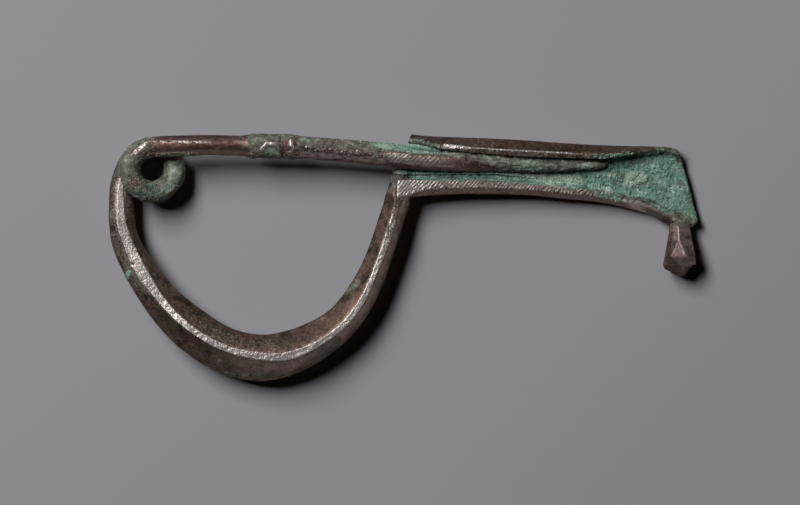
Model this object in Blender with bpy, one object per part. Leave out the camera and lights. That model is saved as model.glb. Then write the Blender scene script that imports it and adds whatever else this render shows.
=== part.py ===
"""Bronze fibula brooch: an arched bow, a coiled spring, a long pin and a foot with a folded catch.

The brooch is 80 mm long and lies on its side on Z = 0. X runs along its length towards the knob, Y points from the
bow to the pin, and Z points up from the ground. The origin is the middle of its footprint.
The pin, the spring and the bow are one rod, lofted from the pin's tip to the end of the bow.
The foot, whose section is like the letter J, and the faceted knob are lofts joined to that rod.
Every length below is in millimetres, and the meshes are scaled to metres as they are made.
"""

import math

import bmesh
import bpy
import numpy as np

MM = 0.001

# Driving dimensions: the spring.
WIRE_RADIUS = 1.42
COIL_CENTRE = (-34.0, 11.9)
COIL_RADIUS = 2.98
COIL_FIRST = 90
COIL_LAST = 570
COIL_STEP = 15
COIL_OPENS = 440
PIN_PLANE = 4.45

# The bow: the height of its middle, its greatest width, and the flat ridge worn along it.
BOW_PLANE = 3.0
BOW_WIDEST = 6.3
RIDGE_HALF = 0.5
BOW_STEPS = 3
FACET_SWELL = 0.45

# The foot: its flat back, which falls towards the knob, and the slant of its two ends.
PLATE_BACK = 1.25
PLATE_FALL = 0.025
PLATE_THICKNESS = 1.0
PIN_CLEARANCE = 0.15
LIP_THICKNESS = 0.45
LIP_BEVEL = 0.35
FOOT_ENDS = (-1.5, 38.6)
FOOT_SLANTS = (0.355, -0.275)
FOOT_MIDDLE_Y = 10.0
FOOT_STATIONS = 34
UNFOLDS = (30.0, 37.0)

KNOB_HALF_DEPTH = 2.15

# The pin from its tip to the spring: x, y, radius. The lump is an old thickening of the rod.
PIN = [
    (27.3, 12.5, 0.22),
    (26.5, 12.5, 0.47),
    (24.0, 12.6, 0.70),
    (19.8, 12.55, 0.95),
    (13.1, 12.85, 1.20),
    (6.3, 13.1, 1.45),
    (-0.5, 13.7, 1.53),
    (-5.9, 14.3, 1.52),
    (-14.0, 14.9, 1.50),
    (-14.7, 14.95, 1.62),
    (-17.5, 15.05, 1.56),
    (-20.7, 15.1, 1.60),
    (-21.3, 15.1, 1.38),
    (-27.5, 15.2, 1.36),
    (-31.6, 15.0, 1.40),
]

# The bow from the spring to the foot: x, y, height of its middle, width.
BOW = [
    (-38.25, 8.2, 1.9, 3.3),
    (-38.15, 5.1, 2.3, 3.5),
    (-37.55, 1.9, 2.7, 3.65),
    (-35.45, -2.0, BOW_PLANE, 4.5),
    (-32.4, -6.2, BOW_PLANE, 5.1),
    (-28.6, -9.8, BOW_PLANE, 5.95),
    (-24.1, -12.55, BOW_PLANE, 6.15),
    (-19.4, -13.55, BOW_PLANE, 6.3),
    (-15.5, -12.9, BOW_PLANE, 5.95),
    (-11.6, -11.1, BOW_PLANE, 5.25),
    (-8.35, -8.65, BOW_PLANE, 4.6),
    (-5.8, -5.3, BOW_PLANE, 4.15),
    (-3.8, -1.15, BOW_PLANE, 3.6),
    (-2.3, 3.15, 2.95, 3.4),
    (-1.1, 7.55, 2.8, 3.2),
    (-0.5, 10.3, 2.65, 2.5),
]

# The foot's outlines: pairs of x and y, read from left to right.
FOOT_TOP = [(1.0, 16.7), (3.5, 16.45), (13.1, 16.1), (26.6, 15.25), (35.8, 15.0), (36.6, 14.85), (37.5, 14.2)]
LIP_RIDGE = [(1.0, 15.9), (5.5, 15.25), (13.0, 14.8), (18.5, 14.4), (29.3, 14.35), (37.0, 14.1)]
LIP_EDGE = [(1.0, 15.4), (4.9, 14.6), (10.4, 14.1), (17.1, 13.55), (26.6, 13.35), (32.0, 13.6), (37.0, 13.85)]
RIB_TOP = [(-1.3, 10.5), (10.4, 10.6), (18.5, 10.0), (26.6, 9.1), (33.3, 7.8), (37.2, 5.7), (39.7, 5.1)]
FOOT_BASE = [
    (-1.3, 7.9),
    (1.2, 8.1),
    (3.6, 8.4),
    (9.0, 8.6),
    (15.8, 8.5),
    (21.2, 8.0),
    (26.6, 7.5),
    (30.7, 6.6),
    (33.4, 5.8),
    (35.9, 4.45),
    (37.5, 4.15),
    (39.2, 4.2),
    (39.95, 4.9),
]

# Heights along the foot: pairs of x and z.
RIB_FRONT = [(-1.3, 4.25), (10.0, 3.8), (20.0, 3.15), (30.0, 2.45), (36.0, 2.0), (40.0, 1.75)]
LIP_FRONT = [(1.0, 5.6), (13.0, 5.1), (20.0, 4.6), (27.0, 4.0), (33.0, 3.1), (37.5, 2.0)]

# The knob from its root in the foot to its blunt end: x, y, height of its middle, half width,
# half depth, half ridge.
KNOB = [
    (37.45, 5.4, 1.05, 1.15, 0.4, 0.1),
    (37.45, 4.0, 1.4, 1.38, 1.0, 0.1),
    (37.45, 2.2, 1.85, 1.67, 1.55, 0.12),
    (37.45, 0.0, KNOB_HALF_DEPTH, 2.08, KNOB_HALF_DEPTH, 0.9),
    (37.4, -0.95, KNOB_HALF_DEPTH, 2.2, 1.95, 0.4),
    (37.6, -1.75, KNOB_HALF_DEPTH, 1.3, 1.3, 0.3),
    (37.8, -2.44, KNOB_HALF_DEPTH, 0.4, 0.55, 0.2),
]

# The faces over an end, by the corners of the section: one for the rod, five convex ones for the J.
ROD_END = [tuple(range(12))]
FOOT_END = [(0, 1, 2, 3, 4, 5), (0, 5, 6, 13), (6, 7, 11, 12, 13), (7, 10, 11), (7, 8, 9, 10)]


def smooth_columns(rows, at):
    """Each column's values at the places in at, on smooth curves through the rows that never overshoot."""
    rows = np.array(sorted(rows), float)
    place = rows[:, 0]
    at = np.asarray(at, float)
    index = np.clip(np.searchsorted(place, at, side="right") - 1, 0, len(place) - 2)
    span = place[index + 1] - place[index]
    t = np.clip((at - place[index]) / span, 0, 1)
    columns = []
    for values in rows[:, 1:].T:
        slopes = np.diff(values) / np.diff(place)
        before, after = slopes[:-1], slopes[1:]
        same_way = before * after > 0
        inner = np.where(same_way, 2 * before * after / np.where(same_way, before + after, 1), 0)
        tangents = np.concatenate([slopes[:1], inner, slopes[-1:]])
        columns.append(
            (2 * t**3 - 3 * t**2 + 1) * values[index]
            + (t**3 - 2 * t**2 + t) * span * tangents[index]
            + (3 * t**2 - 2 * t**3) * values[index + 1]
            + (t**3 - t**2) * span * tangents[index + 1]
        )
    return np.array(columns).T


def level(pairs, x):
    """The value at x of an outline or a height given as pairs."""
    return float(smooth_columns(pairs, [x])[0, 0])


def through(rows, per_span):
    """A Catmull-Rom curve through rows of numbers, with per_span steps from each row to the next."""
    rows = np.array(rows, float)
    rows = np.vstack([2 * rows[0] - rows[1], rows, 2 * rows[-1] - rows[-2]])
    out = []
    for a, b, c, d in zip(rows, rows[1:], rows[2:], rows[3:]):
        for step in range(per_span):
            t = step / per_span
            cubic = (3 * b - a - 3 * c + d) * t**3
            out.append(0.5 * (2 * b + (c - a) * t + (2 * a - 5 * b + 4 * c - d) * t**2 + cubic))
    out.append(rows[-2])
    return out


def plate_back(x):
    """The height of the foot's flat back, which falls slightly towards the knob."""
    return PLATE_BACK - PLATE_FALL * x


def plate_floor(x):
    return plate_back(x) + PLATE_THICKNESS


def ease(t):
    """0 to 1 with a soft start and end."""
    t = min(max(t, 0.0), 1.0)
    return t * t * (3 - 2 * t)


def mix(a, b, share):
    return a + (b - a) * share


# A station of the rod: its place, half width, half depth, half the flat ridge along front and back,
# half the flat along each side, and how far its slanting flanks swell from flat, 0, to round, 1.


def round_station(x, y, z, radius):
    flat = radius * math.tan(math.radians(15))
    return (x, y, z, radius, radius, flat, flat, 1.0)


def pin_stations():
    """The pin from its tip under the lip to the spring, lying on the floor of the catch."""
    start = PIN[-1][0]
    places = []
    for (x, _, _), (next_x, _, _) in zip(PIN, PIN[1:]):
        places.append(x)
        if abs(next_x - x) > 2:
            places.append((x + next_x) / 2)
    places.append(start)
    at_foot = plate_floor(0) + PIN_CLEARANCE + smooth_columns(PIN, [0.0])[0, 1]
    stations = []
    for x, (y, radius) in zip(places, smooth_columns(PIN, places)):
        resting = plate_floor(x) + PIN_CLEARANCE + radius
        z = resting if x > 0 else mix(at_foot, PIN_PLANE, x / start)
        stations.append(round_station(x, y, z, radius))
    return stations


def coil_stations():
    """One turn and a third: the front turn carries the pin, the back turn opens out into the bow."""
    bow_x, bow_y = BOW[0][:2]
    dx = bow_x - COIL_CENTRE[0]
    dy = bow_y - COIL_CENTRE[1]
    opening = math.hypot(dx, dy) - COIL_RADIUS
    bow_angle = math.degrees(math.atan2(dy, dx)) + 720
    stations = []
    for angle in range(COIL_FIRST + COIL_STEP, COIL_LAST + 1, COIL_STEP):
        opened = max(0.0, (angle - COIL_OPENS) / (bow_angle - COIL_OPENS)) ** 4
        radius = COIL_RADIUS + opening * opened
        x = COIL_CENTRE[0] + radius * math.cos(math.radians(angle))
        y = COIL_CENTRE[1] + radius * math.sin(math.radians(angle))
        z = mix(PIN_PLANE, WIRE_RADIUS, ease((angle - 180) / 270))
        swelling = ease((angle - 550) / (bow_angle - 550))
        z = mix(z, BOW[0][2], swelling)
        wire = mix(WIRE_RADIUS, BOW[0][3] / 2, swelling)
        stations.append(round_station(x, y, z, min(wire, z)))
    return stations


def bow_stations():
    """The faceted bow, swelling from the spring to its belly and thinning again to the foot."""
    stations = []
    for i, (x, y, z, width) in enumerate(through(BOW, BOW_STEPS)):
        facet = ease(i / 5)
        half = width / 2
        depth = half * mix(1.0, 2 * BOW_PLANE / BOW_WIDEST, facet)
        ridge = mix(half * math.tan(math.radians(15)), RIDGE_HALF, facet)
        side = mix(half * math.tan(math.radians(15)), 0.14 * half, facet)
        stations.append((x, y, z, half, depth, ridge, side, mix(1.0, FACET_SWELL, facet)))
    return stations


def rod_section(half, depth, ridge, side, swell):
    """Twelve corners across the rod, as pairs: out from the path, and up."""
    share = 1 + 0.155 * swell
    flank_out = (half + ridge) / 2 * share
    flank_up = (depth + side) / 2 * share
    quarter = [(half, side), (flank_out, flank_up), (ridge, depth)]
    top = quarter + [(-out, up) for out, up in quarter[::-1]]
    return top + [(out, -up) for out, up in top[::-1]]


def rod_rings(stations):
    """Each station's section, set square across the rod's path with its ridge upward."""
    path = np.array([station[:3] for station in stations], float)
    tangents = np.gradient(path, axis=0)
    rings = []
    for place, tangent, station in zip(path, tangents, stations):
        tangent = tangent / np.linalg.norm(tangent)
        out = np.cross(tangent, (0.0, 0.0, 1.0))
        out /= np.linalg.norm(out)
        up = np.cross(out, tangent)
        rings.append([place + a * out + b * up for a, b in rod_section(*station[3:])])
    return rings


def foot_point(share, outline):
    """Where an outline crosses the slanted section that lies share, 0 to 1, of the way along the foot."""
    middle_x = mix(*FOOT_ENDS, share)
    slant = mix(*FOOT_SLANTS, share)
    x = middle_x
    for _ in range(5):
        y = outline(x)
        x = middle_x + slant * (y - FOOT_MIDDLE_Y)
    return x, y


def foot_ring(share):
    """One J-shaped section: the rib below, the thin plate, and the lip folded over towards the front."""
    middle_x = mix(*FOOT_ENDS, share)
    unfold = ease((middle_x - UNFOLDS[0]) / (UNFOLDS[1] - UNFOLDS[0]))
    rib = level(RIB_FRONT, middle_x)
    lip = level(LIP_FRONT, middle_x)
    lip_inside = lip - LIP_BEVEL - LIP_THICKNESS
    back = plate_back(middle_x)
    floor = back + PLATE_THICKNESS

    def base(x):
        return level(FOOT_BASE, x)

    def rib_top(x):
        return level(RIB_TOP, x)

    def top(x):
        return level(FOOT_TOP, x)

    def edge(x):
        return level(LIP_EDGE, x)

    corners = [
        (lambda x: base(x) + 0.35, back),
        (base, back + 0.5),
        (base, mix(rib - 0.9, floor, unfold)),
        (lambda x: mix(base(x), rib_top(x), 0.35), rib),
        (rib_top, rib - 0.05),
        (lambda x: rib_top(x) + 0.3, floor),
        (lambda x: mix(top(x) - 1.0, edge(x) - 0.8, unfold), floor),
        (lambda x: mix(top(x) - 0.8, edge(x) - 0.4, unfold), mix(lip_inside, floor + 0.1, unfold)),
        (lambda x: edge(x) - 0.1 * unfold, mix(lip_inside, lip - 0.2, unfold)),
        (edge, lip - LIP_BEVEL * (1 - unfold)),
        (lambda x: level(LIP_RIDGE, x), lip),
        (lambda x: top(x) - 0.05, lip - mix(1.4, 0.25, unfold)),
        (top, back + mix(0.9, 0.4, unfold)),
        (lambda x: top(x) - 0.4, back),
    ]
    ring = []
    for outline, z in corners:
        x, y = foot_point(share, outline)
        ring.append((x, y, z + plate_back(x) - back))
    return ring


def knob_rings():
    rings = []
    for x, y, z, half, depth, ridge in KNOB:
        section = rod_section(half, depth, ridge, 0.3 * depth, 0.3)
        rings.append([(x + out, y, z + up) for out, up in section])
    return rings


def bronze():
    """Patinated bronze: dark brown, half metallic, dulled by age."""
    material = bpy.data.materials.new("patinated_bronze")
    material.use_nodes = True
    shader = material.node_tree.nodes["Principled BSDF"]
    shader.inputs["Base Color"].default_value = (0.14, 0.095, 0.075, 1)
    shader.inputs["Metallic"].default_value = 0.6
    shader.inputs["Roughness"].default_value = 0.5
    return material


def loft(name, rings, collection, end_faces):
    """One closed object through rings of equally many points; end_faces lists the faces over each end."""
    bm = bmesh.new()
    loops = [[bm.verts.new(point) for point in ring] for ring in rings]
    for near, far in zip(loops, loops[1:]):
        for i, corner in enumerate(near):
            j = (i + 1) % len(near)
            bm.faces.new((corner, near[j], far[j], far[i]))
    for corners in end_faces:
        bm.faces.new([loops[0][i] for i in corners[::-1]])
        bm.faces.new([loops[-1][i] for i in corners])
    bmesh.ops.triangulate(bm, faces=bm.faces[:])
    bmesh.ops.recalc_face_normals(bm, faces=bm.faces[:])
    bmesh.ops.scale(bm, vec=(MM, MM, MM), verts=bm.verts[:])
    mesh = bpy.data.meshes.new(name)
    bm.to_mesh(mesh)
    bm.free()
    piece = bpy.data.objects.new(name, mesh)
    collection.objects.link(piece)
    return piece


def join(body, other):
    """Adds a Boolean union that makes other one with body."""
    union = body.modifiers.new("join_" + other.name, "BOOLEAN")
    union.operation = "UNION"
    union.solver = "EXACT"
    union.object = other
    other.hide_render = True
    other.display_type = "WIRE"


def main():
    for old in list(bpy.data.objects):
        bpy.data.objects.remove(old)
    parts = bpy.data.collections.new("fibula_brooch")
    joined = bpy.data.collections.new("fibula_cutters")
    for collection in (parts, joined):
        bpy.context.scene.collection.children.link(collection)

    rod = pin_stations() + coil_stations() + bow_stations()
    fibula = loft("fibula", rod_rings(rod), parts, ROD_END)
    fibula.data.materials.append(bronze())
    shares = np.linspace(0, 1, FOOT_STATIONS)
    join(fibula, loft("foot_blank", [foot_ring(share) for share in shares], joined, FOOT_END))
    join(fibula, loft("knob_blank", knob_rings(), joined, ROD_END))


main()
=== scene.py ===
# %% [markdown]
# # The looks of an ancient bronze bow brooch
#
# The brooch was drawn out of one bronze rod. A faceted bow swells and thins again, a thin wire is
# coiled into a spring and runs on as the pin, and the foot is hammered flat, folded over as a catch
# and finished with a drop-shaped knob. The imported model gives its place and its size; this script
# gives every surface its relief and its finish: brown oxide on the handled metal, ridges rubbed
# bright, file marks on the foot, and the green carbonates that grew in the sheltered corners.

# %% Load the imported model
import functools
import itertools
import math

import bmesh
import bpy
import numpy as np
from mathutils import Matrix, Vector, geometry, noise


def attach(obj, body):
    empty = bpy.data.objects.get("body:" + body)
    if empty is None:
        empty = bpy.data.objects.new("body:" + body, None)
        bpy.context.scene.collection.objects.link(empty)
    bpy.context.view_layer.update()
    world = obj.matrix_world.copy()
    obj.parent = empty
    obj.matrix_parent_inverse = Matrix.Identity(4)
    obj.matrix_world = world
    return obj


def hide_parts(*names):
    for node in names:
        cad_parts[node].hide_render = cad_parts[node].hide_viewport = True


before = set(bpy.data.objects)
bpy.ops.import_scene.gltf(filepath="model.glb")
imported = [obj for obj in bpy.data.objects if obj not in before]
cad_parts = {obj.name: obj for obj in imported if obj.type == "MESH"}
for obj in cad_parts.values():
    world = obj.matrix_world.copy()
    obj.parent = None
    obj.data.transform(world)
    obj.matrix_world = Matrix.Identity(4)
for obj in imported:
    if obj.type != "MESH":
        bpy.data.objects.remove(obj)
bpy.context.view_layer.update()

# %% [markdown]
# All sizes here are in millimetres, as a jeweller would measure them, and each mesh is brought to
# metres when it is made.

# %% Units and places
MM = 0.001
NODE = "fibula"

# %% [markdown]
# ## Curves through measured sections
#
# A hand-made rod has no formula, but it can be measured in a few places. Two kinds of smooth curve
# pass through such measurements: one for heights and outlines, which never overshoots, and one for
# a path in space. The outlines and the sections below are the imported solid's own, so that the fine
# meshes keep its form.


# %% Smooth curves
def level(pairs, x):
    """An outline or a height given as pairs of x and value, read at x on a smooth curve."""
    place, values = np.array(sorted(pairs), float).T
    x = np.asarray(x, float)
    index = np.clip(np.searchsorted(place, x, side="right") - 1, 0, len(place) - 2)
    span = place[index + 1] - place[index]
    t = np.clip((x - place[index]) / span, 0, 1)
    slopes = np.diff(values) / np.diff(place)
    before, after = slopes[:-1], slopes[1:]
    same_way = before * after > 0
    inner = np.where(same_way, 2 * before * after / np.where(same_way, before + after, 1), 0)
    tangents = np.concatenate([slopes[:1], inner, slopes[-1:]])
    return (
        (2 * t**3 - 3 * t**2 + 1) * values[index]
        + (t**3 - 2 * t**2 + t) * span * tangents[index]
        + (3 * t**2 - 2 * t**3) * values[index + 1]
        + (t**3 - t**2) * span * tangents[index + 1]
    )


def through(rows, step):
    """A Catmull-Rom curve through rows that start with x, y, z; its points lie about step apart."""
    rows = np.array(rows, float)
    rows = np.vstack([2 * rows[0] - rows[1], rows, 2 * rows[-1] - rows[-2]])
    out = []
    for a, b, c, d in zip(rows, rows[1:], rows[2:], rows[3:]):
        count = max(1, round(np.linalg.norm(c[:3] - b[:3]) / step))
        for t in np.arange(count) / count:
            cubic = (3 * b - a - 3 * c + d) * t**3
            out.append(0.5 * (2 * b + (c - a) * t + (2 * a - 5 * b + 4 * c - d) * t**2 + cubic))
    return np.array(out + [rows[-2]])


def ease(t):
    """0 to 1 with a soft start and end."""
    t = np.clip(t, 0.0, 1.0)
    return t * t * (3 - 2 * t)


def mix(a, b, share):
    """The value that lies a share of the way from a to b."""
    return a + (b - a) * share


def length_of(rows):
    """The length in millimetres of the path through rows."""
    return round(float(np.linalg.norm(np.diff(rows[:, :3], axis=0), axis=1).sum()), 1)


# %% [markdown]
# ## Skins made of rings
#
# Every main piece is a skin over a row of sections. Each section is a polygon whose corners are
# worn round, so a helper replaces every corner with a short curve and cuts every side into small
# steps. It also tells where each point sits, counted in corners, and that number later says which
# facet a point belongs to.


# %% Sections with worn corners
CORNER_STEPS = 3


def round_off(corners, radii, cuts):
    """Rings of points from rings of corners: corners become curves, sides are cut in cuts steps."""
    corners = np.asarray(corners, float)
    ahead = np.roll(corners, -1, axis=1) - corners
    length = np.linalg.norm(ahead, axis=2, keepdims=True)
    before = np.roll(length, 1, axis=1)
    radii = np.broadcast_to(np.asarray(radii, float)[:, None], length.shape[1:])
    reach = np.minimum(radii, 0.4 * np.minimum(length, before))
    ahead = ahead / length
    back = np.roll(ahead, 1, axis=1)
    points, places = [], []
    for k, steps in enumerate(cuts):
        start = corners[:, k] - back[:, k] * reach[:, k]
        end = corners[:, k] + ahead[:, k] * reach[:, k]
        for step in range(CORNER_STEPS):
            t = step / CORNER_STEPS
            points.append((1 - t) ** 2 * start + 2 * t * (1 - t) * corners[:, k] + t**2 * end)
            places.append(k + 0.1 * (t - 0.5))
        following = (k + 1) % len(cuts)
        far = corners[:, following] - ahead[:, k] * reach[:, following]
        for step in range(steps):
            t = step / steps
            points.append(mix(end, far, t))
            places.append(k + mix(0.05, 0.95, t))
    return np.stack(points, axis=1), np.array(places)


def facing(grid):
    """The outward direction at each point of a grid of rings."""
    along = np.gradient(grid, axis=0)
    around = np.roll(grid, -1, axis=1) - np.roll(grid, 1, axis=1)
    normal = np.cross(along, around)
    length = np.linalg.norm(normal, axis=2, keepdims=True)
    normal = normal / np.maximum(length, 1e-12)
    centre = grid.mean(axis=1, keepdims=True)
    outward = np.sign(((grid - centre) * normal).sum())
    return normal * outward


def raise_skin(grid, height):
    """The grid with each point moved outwards by its height; nothing goes below the ground."""
    moved = grid + facing(grid) * height[..., None]
    moved[..., 2] = np.maximum(moved[..., 2], 0.0)
    return moved


# %% [markdown]
# A closed skin also needs its two ends. The end sections are not always convex, so they are cut
# into triangles by Blender's own tessellation. Named numbers are stored on the points as
# attributes, and the materials read them later: how far the oxide is rubbed away or worn thin, how
# dark a pit is, and how much of each crust has grown. The same numbers also paint light and shade:
# a painted highlight, painted light and painted shade on the pin, and painted light in the foot's
# strip.


# %% Meshes from rings
def skin(name, grid, marks, material):
    """A closed mesh over a grid of rings, with marks stored as attributes, in place on the brooch."""
    rings, count = grid.shape[:2]
    first = np.arange(rings - 1)[:, None] * count + np.arange(count)
    after = np.arange(rings - 1)[:, None] * count + (np.arange(count) + 1) % count
    quads = np.stack([first, after, after + count, first + count], axis=2).reshape(-1, 4)
    faces = quads.tolist()
    for ring, start in ((grid[0], 0), (grid[-1], (rings - 1) * count)):
        cap = geometry.tessellate_polygon([[Vector(p) for p in ring]])
        faces += [[start + corner for corner in face] for face in cap]
    mesh = bpy.data.meshes.new(name)
    mesh.from_pydata((grid.reshape(-1, 3) * MM).tolist(), [], faces)
    for mark, values in marks.items():
        store(mesh, mark, values)
    mesh.materials.append(material)
    return finish_piece(name, mesh)


def store(mesh, mark, values):
    """A number for each point, kept on the mesh under the name of the mark."""
    stored = mesh.attributes.get(mark) or mesh.attributes.new(mark, "FLOAT", "POINT")
    stored.data.foreach_set("value", np.ascontiguousarray(values, np.float32).reshape(-1))


def finish_piece(name, mesh):
    """Smooth shading, faces turned outwards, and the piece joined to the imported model's body."""
    turn_outwards(mesh)
    mesh.shade_smooth()
    piece = bpy.data.objects.new(name, mesh)
    bpy.context.scene.collection.objects.link(piece)
    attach(piece, "root")
    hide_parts(NODE)
    mesh.calc_loop_triangles()
    print(name, "has", len(mesh.loop_triangles), "triangles")
    return piece


def turn_outwards(mesh):
    """Makes all faces agree, and turns them over if the volume that they enclose is negative."""
    work = bmesh.new()
    work.from_mesh(mesh)
    bmesh.ops.scale(work, vec=(1 / MM,) * 3, verts=work.verts)
    bmesh.ops.recalc_face_normals(work, faces=work.faces)
    if work.calc_volume(signed=True) < 0:
        bmesh.ops.reverse_faces(work, faces=work.faces)
    bmesh.ops.scale(work, vec=(MM,) * 3, verts=work.verts)
    work.to_mesh(mesh)
    work.free()


# %% [markdown]
# ## Age
#
# Two thousand years in the ground leave no smooth surface. Blender's fractal noise gives bumps of
# any size, a file or a scrape leaves fine parallel strokes, and a list of ellipses says where a
# certain stain, pit or crust sits.


# %% Bumps and spots
def bumps(points, size, seed, octaves=3):
    """Random heights, mostly between -1 and 1, whose largest bumps are about size millimetres wide."""
    shift = Vector((3.7 * seed, 1.3 * seed, 2.9 * seed))
    flat = points.reshape(-1, 3) / size
    found = [noise.fractal(Vector(p) + shift, 0.8, 2.0, octaves) for p in flat]
    return np.array(found).reshape(points.shape[:-1])


def spots(points, ellipses):
    """0 to 1 inside ellipses given as x, y, half length, half width, turn in degrees and strength."""
    total = np.zeros(points.shape[:-1])
    for x, y, half_length, half_width, turn, strength in ellipses:
        c, s = math.cos(math.radians(turn)), math.sin(math.radians(turn))
        dx, dy = points[..., 0] - x, points[..., 1] - y
        away = np.hypot((c * dx + s * dy) / half_length, (c * dy - s * dx) / half_width)
        total = np.maximum(total, strength * ease(1.6 * (1.25 - away)))
    return total


def between(values, low, high, soft):
    """1 where values lie between low and high, fading to 0 over soft."""
    return ease((values - low) / soft + 0.5) * ease((high - values) / soft + 0.5)


def most(*values):
    """The largest of several numbers at each point."""
    return functools.reduce(np.maximum, values)


STROKE_SPACING = 0.42


def strokes(points, turn, wander):
    """Fine parallel ridges, 0 to 1, at turn degrees; wander bends them by that many millimetres."""
    angle = math.radians(turn)
    across = points[..., 0] * math.sin(angle) - points[..., 1] * math.cos(angle) + wander
    return 0.5 + 0.5 * np.cos(2 * math.pi * across / STROKE_SPACING)


# %% [markdown]
# ## Bronze and what grew on it
#
# Old bronze is metal under a skin of oxides. Cuprite and tenorite make it brown, with redder and
# olive clouds. Where it has worn thin it turns a pale lilac, and a rubbed edge shows the bare metal
# again. Where the ground stayed damp a crust grew over it: first a grey and olive one, like old
# bark, in the sheltered places malachite, the green carbonate, and here and there a pale chalky
# one. All three are minerals, so they have no metallic gloss, they are matt and they lie in grains.
# One recipe lays these skins over one another by the attributes on the piece, with noise to fray
# their borders. Through the same attributes it also lays a painted highlight, painted light and
# painted shade on the pin, and painted light on the crust in the foot's strip.


# %% Small helpers for materials
def colour(hexadecimal):
    """A linear colour from an sRGB hex value."""
    channels = [int(hexadecimal[i : i + 2], 16) / 255 for i in (1, 3, 5)]
    linear = [c / 12.92 if c <= 0.04045 else ((c + 0.055) / 1.055) ** 2.4 for c in channels]
    return (*linear, 1.0)


def add(tree, kind, inputs, **settings):
    """A node with its settings; an input given as a node or a socket is linked, any other is set.

    Inputs that share a name go by number: Mix blends 2 and 3 as numbers, 6 and 7 as colours by 0.
    """
    made = tree.nodes.new(kind)
    for name, value in settings.items():
        setattr(made, name, value)
    for key, value in inputs.items():
        if isinstance(value, bpy.types.Node):
            value = next(socket for socket in value.outputs if socket.enabled)
        if isinstance(value, bpy.types.NodeSocket):
            tree.links.new(value, made.inputs[key])
        else:
            made.inputs[key].default_value = value
    return made


def per_mm(size):
    """The scale of a pattern whose features are size millimetres wide, on coordinates in metres."""
    return 1.0 / (size * MM)


def set_ramp(node, stops):
    """The colour ramp node, with its stops set from positions and hex values."""
    elements = node.color_ramp.elements
    elements.remove(elements[1])
    elements[0].position, elements[0].color = stops[0][0], colour(stops[0][1])
    for position, shade in stops[1:]:
        elements.new(position).color = colour(shade)
    return node


# %% The bronze recipe
# Ramps run over the clouds of their noise, from the darkest hollow to the palest grain.
# The bare metal, thin oxide, deep pit and chalky colours also serve as painted light and shade.
BARE_METAL_AND_PAINTED_LIGHT = "#cdc3be"
THIN_OXIDE_AND_PAINTED_LIGHT = "#a8918a"
DEEP_PIT_AND_PAINTED_SHADE = "#1a1512"
GREY_CRUST = ((0.34, "#383930"), (0.46, "#5b5c50"), (0.56, "#7a7c6e"), (0.68, "#b4b6a7"))
MALACHITE = ((0.34, "#3d6253"), (0.45, "#628c7a"), (0.56, "#86ad9a"), (0.68, "#cfe0d4"))
CHALKY_AND_PAINTED_LIGHT = ((0.32, "#86937f"), (0.45, "#a3b3a0"), (0.57, "#bccbba"), (0.68, "#e6eee4"))
MARKS = ("rubbed", "thin_oxide_and_painted_light", "pits_and_painted_shade", "grey", "green", "chalk_and_painted_light")
GRIT_DEPTH = 0.085 * MM
MATT_MINERAL = 0.8


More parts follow.
